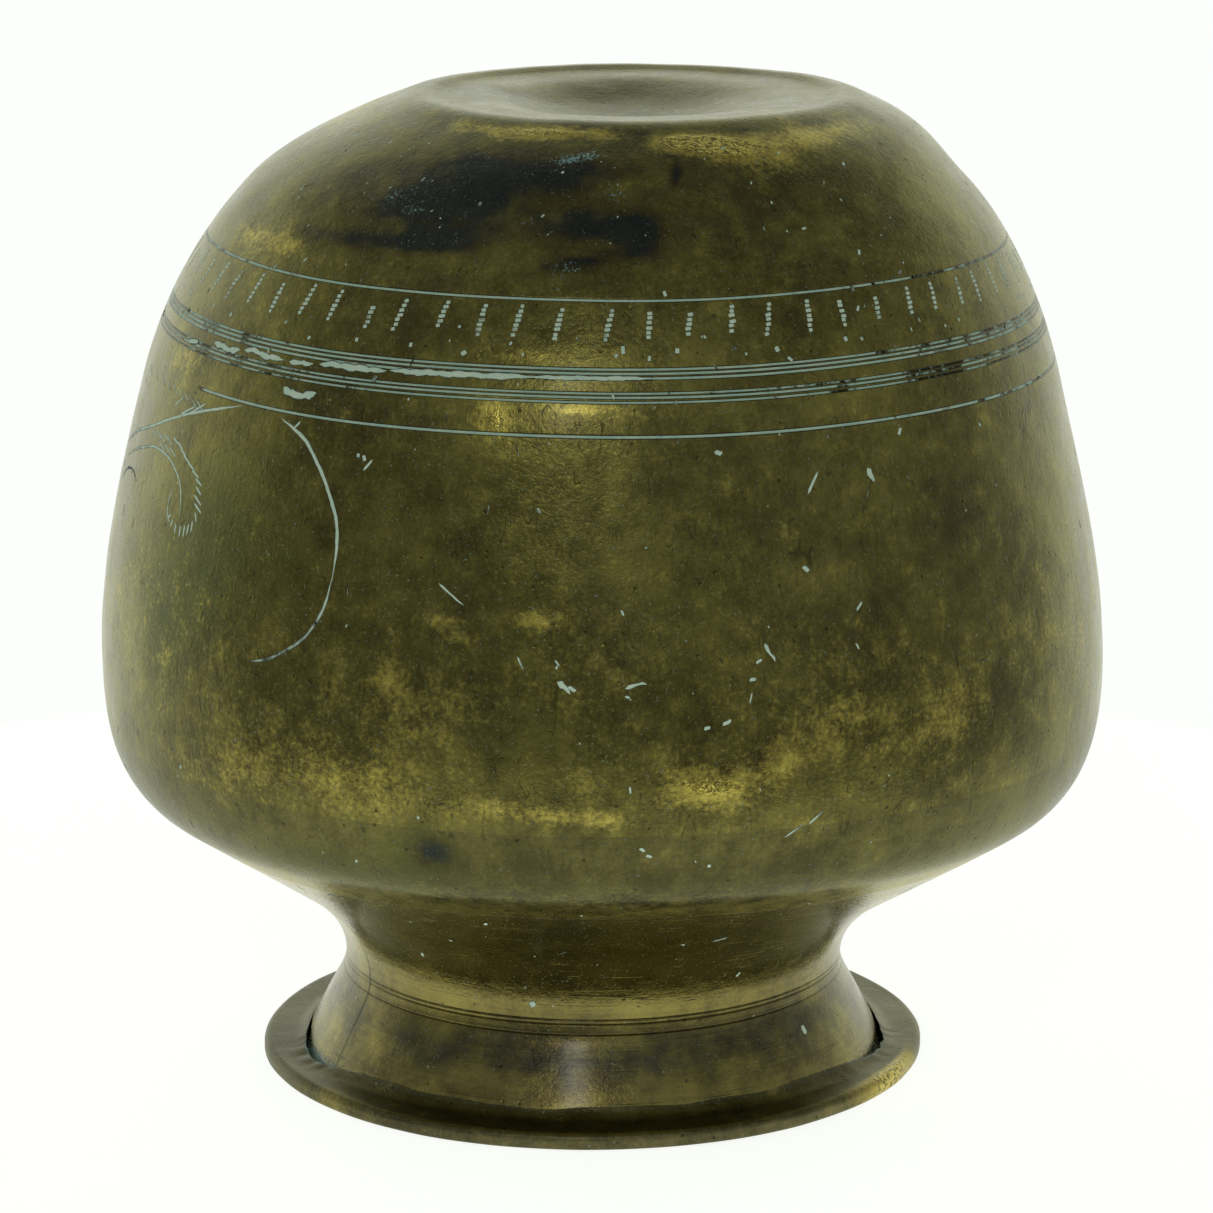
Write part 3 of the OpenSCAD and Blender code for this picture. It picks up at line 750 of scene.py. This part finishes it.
def dried_polish(name, pale, grey, edge):
    """Polish and verdigris dried in a mark: chalky and rough, with painted shade where it meets the
    edge of the metal, and greyer or darker where the mark called pale is low."""
    made = bpy.data.materials.new(name)
    tree = blank_tree(made)
    where = add(tree, "TexCoord").outputs["Object"]
    cloud = add(tree, "TexNoise", {"Vector": where, "Scale": 1 / (1.3 * MM), "Detail": 4.0})
    core = add(tree, "Attribute", attribute_name="core").outputs["Fac"]
    left = add(tree, "Attribute", attribute_name="pale").outputs["Fac"]
    tint = add(tree, "Mix", {0: cloud, 6: linear(pale), 7: linear(grey)},
               data_type="RGBA").outputs[2]
    left = add(tree, "Math", [cloud, 1.2, left], operation="MULTIPLY_ADD")
    left = add(tree, "MapRange", [left, 0.75, 1.15])
    # Where core is low, at the edge of the metal, the edge colour is painted shade
    inside = add(tree, "MapRange", [core, 0.08, 0.4])
    share = add(tree, "Math", [left, inside], operation="MULTIPLY")
    colour = add(tree, "Mix", {0: share, 6: linear(edge), 7: tint},
                 data_type="RGBA").outputs[2]
    shader = add(tree, "BsdfPrincipled", {"Base Color": colour, "Roughness": 0.8})
    add(tree, "OutputMaterial", [shader])
    return made


# Chalky polish with a little verdigris: a pale grey-green that never shines, with near black
# painted shade round each mark
chalk = dried_polish("dried polish, grey-green, shaded edge", "dde8cd", "a3cdbb", "1c2018")
finish_piece(ticks, chalk, "groove_residue")

dot_count = 46
dot_at = np.arange(dot_count) * 360 / dot_count - 180 + rng.normal(0, 2.4, dot_count)
dot_size = rng.uniform(0.3, 0.8, dot_count)
dots = pads("loose_dots", dot_at, 64.2 + rng.normal(0, 0.35, dot_count), dot_size * 0.8,
            dot_size, rng.normal(10, 20, dot_count), pale=rng.uniform(0.5, 1.0, dot_count))
finish_piece(dots, chalk, "groove_residue")

speck_count = 420
speck_at = rng.uniform(-180, 180, speck_count)
speck_along = np.concatenate([rng.uniform(34, 78, speck_count // 2),
                              rng.uniform(34, 168, speck_count - speck_count // 2)])
speck_size = 0.16 + 0.34 * rng.random(speck_count) ** 3
specks = pads("polish_specks", speck_at, speck_along, speck_size,
              speck_size * rng.uniform(1.0, 2.4, speck_count), rng.normal(0, 25, speck_count),
              proud=0.012, pale=rng.uniform(0.2, 0.9, speck_count))
finish_piece(specks, chalk, "groove_residue")

# ---- Vine and leaf ----------------------------------------------------------------------------
# A sketch scratched with the point of a graver, left of the front: a long curling stem, a branch
# and a feathered leaf. Knocks and scratches from use are cut the same way.


def strokes(name, lines, lift=0.03):
    """Scratches on the metal, each a thin ribbon that tapers to its ends.

    A line is its points (degrees round, distance along), its width, and how pale it is at its
    start and end. The points are joined by a Catmull-Rom curve, and across it the ribbon has an
    edge under the skin, an edge on it, a proud middle, and the same on the other side."""
    grids, cores, pales = [], [], []
    for knots, width, pale_start, pale_end, *rough in lines:
        knots = np.array(knots, float)
        radius = np.interp(knots[:, 1], path_lengths, path_points[:, 0])
        ends = np.concatenate([[2 * knots[0] - knots[1]], knots, [2 * knots[-1] - knots[-2]]])
        span = np.hypot(np.radians(np.diff(knots[:, 0])) * radius[1:], np.diff(knots[:, 1])).sum()
        count = int(np.clip(span / 0.45, 6, 160))
        t = np.linspace(0, len(knots) - 1.0001, count)
        i = t.astype(int)
        t = (t - i)[:, None]
        a, b, c, d = ends[i], ends[i + 1], ends[i + 2], ends[i + 3]
        line = 0.5 * (2 * b + (c - a) * t + (2 * a - 5 * b + 4 * c - d) * t ** 2
                      + (3 * b - 3 * c + d - a) * t ** 3)
        radius = np.interp(line[:, 1], path_lengths, path_points[:, 0])
        flat = np.stack([np.radians(line[:, 0]) * radius, line[:, 1]], -1)
        way = np.gradient(flat, axis=0)
        side = np.stack([-way[:, 1], way[:, 0]], -1) / np.linalg.norm(way, axis=1)[:, None]
        share = np.linspace(0, 1, count)
        taper = np.minimum(1, 0.12 + 6 * np.minimum(share, 1 - share))
        at = (share * span)[:, None] + np.array([0.0, 1.3])
        waves = (np.sin(1.3 * at) + np.sin(3.1 * at + 1) + 0.5 * np.sin(6.7 * at)) / 2
        uneven = 1 + (rough or [0.2])[0] * waves
        half = width / 2 * taper[:, None] * np.maximum(uneven[:, [0, 0, 0, 1, 1]], 0.1)
        across = np.array([-1, -1, 0, 1, 1])[None]
        depth = np.array([0.2, 0.0, -lift, 0.0, 0.2])[None]
        grids.append(on_pot(line[:, :1] + np.degrees(side[:, :1] * half * across / radius[:, None]),
                            line[:, 1:] + side[:, 1:] * half * across, depth))
        # The middle has core 1; the edges have core 0, where the material paints shade
        cores.append(np.broadcast_to([0, 0, 1, 0, 0], (count, 5)).ravel())
        pales.append(np.repeat(np.linspace(pale_start, pale_end, count), 5))
    faces, caps, first = [], [], 0
    for grid in grids:
        count = len(grid)
        i, j = np.meshgrid(np.arange(count - 1), np.arange(5), indexing="ij")
        quad = np.stack([i * 5 + j, i * 5 + (j + 1) % 5, (i + 1) * 5 + (j + 1) % 5, (i + 1) * 5 + j], -1)
        faces.append(first + quad.reshape(-1, 4))
        tip = (count - 1) * 5
        caps.append(first + np.array([[4, 3, 2, 1, 0], [tip, tip + 1, tip + 2, tip + 3, tip + 4]]))
        first += count * 5
    points = np.concatenate([grid.reshape(-1, 3) for grid in grids])
    return make_piece(name, points, [np.concatenate(faces), np.concatenate(caps)],
                      core=np.concatenate(cores), pale=np.concatenate(pales))


vine = [([(-41.4, 75.0), (-39.2, 75.9), (-37.2, 77.0), (-35.3, 79.0), (-33.8, 81.0), (-32.3, 83.6),
          (-31.2, 86.2), (-30.8, 89.0), (-30.9, 93.0)], 0.56, 1.0, 0.9),
        ([(-30.9, 92.6), (-31.5, 96.0), (-32.4, 98.2), (-34.0, 100.5), (-36.2, 102.2), (-38.6, 103.6),
          (-41.4, 104.4)], 0.42, 0.55, 0.2),
        ([(-39.2, 75.9), (-38.4, 74.9)], 0.3, 0.9, 0.8)]
branch = [([(-49.0, 74.6), (-54.8, 76.1), (-61.6, 78.1), (-70.5, 81.1), (-77.6, 83.2), (-83.9, 85.9)],
           0.46, 1.0, 0.3),
          ([(-61.8, 77.9), (-58.6, 76.4)], 0.36, 1.0, 1.0), ([(-60.0, 77.7), (-56.3, 75.6)], 0.4, 1.0, 1.0),
          ([(-64.4, 77.4), (-62.4, 76.1)], 0.3, 0.8, 0.8)]
leaf = [([(-81.0, 87.0), (-76.0, 85.2), (-71.7, 84.0), (-67.2, 83.1), (-62.5, 83.5), (-59.3, 85.1),
          (-57.8, 87.0), (-57.0, 89.8)], 0.36, 0.4, 0.7),
        ([(-59.9, 86.6), (-60.3, 88.4), (-59.9, 90.0), (-59.0, 90.9)], 0.3, 0.5, 0.6),
        ([(-78.6, 88.0), (-74.5, 87.5), (-72.0, 88.4)], 0.34, 0.2, 0.2),
        ([(-81.0, 89.9), (-79.0, 88.4), (-77.4, 87.6)], 0.3, 0.2, 0.2)]
hatch_starts = [(-79.2, 75.2), (-75.2, 75.0), (-71.7, 75.0), (-68.8, 75.2), (-66.3, 75.3), (-64.1, 75.5),
                (-62.2, 75.7), (-60.5, 75.8), (-58.8, 75.9)]
hatch = [([(a, b - 0.4), (a + 2.3, b + 0.8)], 0.22, 0.6, 0.35) for a, b in hatch_starts]
barb_starts = [(-62.4, 80.9), (-61.0, 81.2), (-60.0, 81.8), (-58.9, 82.4), (-57.5, 83.1), (-56.3, 83.8),
               (-55.2, 84.6), (-54.8, 85.5), (-54.9, 86.5), (-54.5, 87.5), (-54.0, 88.5), (-54.2, 89.6),
               (-54.8, 90.1), (-55.6, 90.4), (-56.5, 90.6), (-57.6, 90.6), (-58.4, 90.3), (-59.1, 89.8)]
barb_reach = [(1.6, 0.6), (1.6, 0.7), (1.7, 0.7), (1.8, 0.8), (1.8, 0.7), (1.8, 0.7), (1.6, 0.7),
              (1.4, 0.9), (1.9, 1.1), (1.8, 1.0), (0.6, 1.2), (0.1, 1.4), (-0.1, 1.5), (0.0, 1.6),
              (0.1, 1.5), (0.1, 1.3), (-0.4, 1.0), (-0.6, 0.6)]
feather = [([start, (start[0] + reach[0], start[1] + reach[1])], 0.36, 0.85, 0.7)
           for start, reach in zip(barb_starts, barb_reach)]
fuzz = [([(a, b), (a + 2.4, b + 0.9)], 0.24, 0.8, 0.5)
        for a, b in [(-69.7, 81.3), (-68.2, 81.0), (-66.8, 81.2), (-65.6, 80.9), (-64.4, 81.1),
                     (-66.4, 82.2), (-64.6, 82.1), (-63.0, 82.2)]]
sketch = strokes("vine_and_leaf", vine + branch + leaf + hatch + feather + fuzz)
finish_piece(sketch, chalk, "groove_residue")

# Knocks and scratches from use, and the crust that lies along the lines at the left
knocks = [([(24.0, 81.8), (25.6, 79.2)], 0.42, 1.0, 0.8),
          ([(32.2, 79.5), (32.9, 81.3)], 0.7, 0.75, 0.6, 0.6),
          ([(17.7, 98.9), (18.1, 100.0), (18.8, 101.2)], 0.42, 0.75, 0.6, 0.8),
          ([(16.6, 101.2), (17.3, 100.8)], 0.4, 0.6, 0.6),
          ([(15.8, 103.2), (16.6, 103.0)], 0.4, 0.7, 0.6, 0.6),
          ([(16.1, 104.6), (15.8, 106.0)], 0.2, 0.7, 0.5),
          ([(12.8, 108.3), (13.8, 107.7)], 0.4, 0.7, 0.6, 0.7),
          ([(10.8, 108.7), (11.5, 108.4)], 0.4, 0.7, 0.7, 0.6),
          ([(2.1, 94.4), (2.4, 95.1)], 0.3, 0.8, 0.8),
          ([(22.6, 90.4), (23.4, 90.9)], 0.5, 0.7, 0.6, 0.7),
          ([(28.8, 96.2), (29.6, 95.2)], 0.35, 0.8, 0.6),
          ([(28.4, 100.0), (28.8, 100.8)], 0.25, 0.7, 0.6),
          ([(-17.9, 92.0), (-16.4, 93.3), (-14.9, 94.4)], 0.3, 0.9, 0.6, 0.5),
          ([(-28.5, 79.6), (-27.4, 78.2)], 0.36, 0.9, 0.6),
          ([(-8.9, 100.0), (-8.2, 101.6)], 0.26, 0.8, 0.4),
          ([(-4.9, 100.3), (-4.4, 101.0)], 0.25, 0.7, 0.6),
          ([(-4.6, 102.8), (-3.9, 103.4), (-3.3, 104.3)], 0.62, 0.8, 0.7, 0.9),
          ([(-3.5, 103.4), (-2.6, 103.9)], 0.4, 0.9, 0.8, 0.7),
          ([(2.5, 103.6), (3.5, 103.2), (4.8, 103.1)], 0.42, 0.8, 0.7, 0.9),
          ([(2.5, 104.5), (3.0, 104.7)], 0.35, 0.8, 0.8),
          ([(3.0, 115.3), (3.1, 116.2)], 0.28, 0.8, 0.7),
          ([(4.1, 123.2), (4.7, 123.6)], 0.4, 0.8, 0.7, 0.6),
          ([(4.8, 124.2), (5.5, 124.4)], 0.35, 0.8, 0.7, 0.6),
          ([(13.0, 76.0), (13.9, 76.3)], 0.6, 0.6, 0.6),
          ([(-42.2, 71.2), (-41.0, 71.9), (-38.8, 71.8), (-36.9, 71.3)], 1.1, 1.0, 1.0, 0.5),
          ([(22.6, 121.4), (24.4, 119.8)], 0.3, 0.7, 0.3),
          ([(20.0, 122.8), (22.2, 121.2)], 0.26, 0.6, 0.3),
          ([(-58.8, 68.2), (-55.3, 68.5), (-52.5, 68.2)], 0.9, 1.0, 1.0, 0.5),
          ([(-51.5, 68.0), (-49.2, 67.8), (-46.7, 68.1), (-43.5, 68.1)], 0.8, 0.9, 1.0, 0.5),
          ([(-42.5, 68.1), (-40.5, 68.1), (-38.5, 67.9)], 0.7, 1.0, 1.0, 0.5),
          ([(-37.5, 67.8), (-34.5, 67.6), (-31, 67.7), (-27.5, 67.6)], 0.9, 0.9, 1.0, 0.45),
          ([(-27, 67.5), (-22, 67.4), (-16, 67.3), (-8, 67.2)], 0.85, 0.9, 1.0, 0.35),
          ([(-9, 67.2), (-2, 67.15), (6, 67.15)], 0.6, 0.9, 0.8, 0.3),
          ([(-66, 69.3), (-63, 69.0)], 0.7, 0.9, 0.7),
          ([(-13.9, 167.0), (-13.0, 167.6)], 0.9, 1.0, 1.0),
          ([(19.5, 152.6), (21.5, 151.2)], 0.5, 0.4, 0.3),
          ([(52.0, 174.0), (52.5, 175.2)], 0.9, 0.8, 0.8)]
fine_count = 150
start = np.stack([rng.uniform(-180, 180, fine_count), rng.uniform(36, 160, fine_count)], -1)
reach = np.stack([rng.normal(0, 0.7, fine_count), rng.normal(0, 1.3, fine_count)], -1)
fine = [([tuple(a), tuple(a + b)], 0.13, 0.35, 0.0) for a, b in zip(start, reach)]
scratches = strokes("knocks_and_scratches", knocks + fine, lift=0.02)
finish_piece(scratches, chalk, "groove_residue")

# ---- Floor, lights and camera -----------------------------------------------------------------
# A white table lit from below, with white cloth behind and at the sides and one small window
# high in front. The camera looks a little down on the pot.

turn = np.radians(np.arange(96) * 3.75)
table_r = 0.19
table = np.stack([table_r * np.sin(turn), -table_r * np.cos(turn), 0 * turn], -1) / MM
floor = make_piece("light_table", table, [np.arange(96)[None, ::-1]])
white_table = bpy.data.materials.new("lit white acrylic")
white_table.use_nodes = True
paper = white_table.node_tree.nodes["Principled BSDF"]
paper.inputs["Base Color"].default_value = linear("888a87")
paper.inputs["Roughness"].default_value = 0.9
paper.inputs["Emission Color"].default_value = linear("fbfdf9")
paper.inputs["Emission Strength"].default_value = 0.92
floor.data.materials.append(white_table)

room = bpy.data.worlds.new("room")
bpy.context.scene.world = room
tree = blank_tree(room)
facing = add(tree, "TexCoord").outputs["Generated"]
height_of = add(tree, "SeparateXYZ", [facing]).outputs[2]
back = add(tree, "VectorMath", [facing, (-0.12, 1, 0)], operation="DOT_PRODUCT").outputs["Value"]
behind = add(tree, "MapRange", [back, -0.08, 0.82], interpolation_type="SMOOTHSTEP")
low = add(tree, "MapRange", [height_of, 0.75, 0.2], interpolation_type="SMOOTHSTEP")
cloth = add(tree, "Math", [behind, low], operation="MULTIPLY")
clutter = add(tree, "TexNoise", {"Vector": facing, "Scale": 1.7, "Detail": 1.0})
dim = add(tree, "MapRange", [clutter, 0.35, 0.65, 0.22, 0.52])
lit = add(tree, "Mix", {0: cloth, 2: dim, 3: 1.25}, data_type="FLOAT")
seen = add(tree, "LightPath").outputs["Is Camera Ray"]
level = add(tree, "Mix", {0: seen, 2: lit, 3: 1.0}, data_type="FLOAT")
light = add(tree, "Background", {"Color": (0.975, 1, 0.965, 1), "Strength": level})
add(tree, "OutputWorld", [light])

middle = np.array([0, 0, height / 2]) * MM
window_up, window_round = 31, np.radians(-8)
window_out, window_rise = heading(-window_up)
window_way = np.array([np.sin(window_round) * window_out, -np.cos(window_round) * window_out,
                       window_rise])
window = bpy.data.lights.new("window", "AREA")
window.shape = "RECTANGLE"
window.size, window.size_y = 0.17, 0.24
window.energy = 1.0
window_lamp = bpy.data.objects.new("window", window)
window_lamp.location = middle + window_way * 1.2
window_lamp.rotation_euler = (np.radians(90 - window_up), 0, window_round)
bpy.context.scene.collection.objects.link(window_lamp)

camera = bpy.data.cameras.new("camera")
camera.lens = 149.94
camera.sensor_width = 36.0
eye = bpy.data.objects.new("camera", camera)
eye.location = (0.0, -0.63307, 0.21048)
eye.rotation_euler = np.radians((90 - 13.457, -0.164, 0.0))
bpy.context.scene.collection.objects.link(eye)
bpy.context.scene.camera = eye
bpy.context.scene.view_settings.view_transform = "Standard"
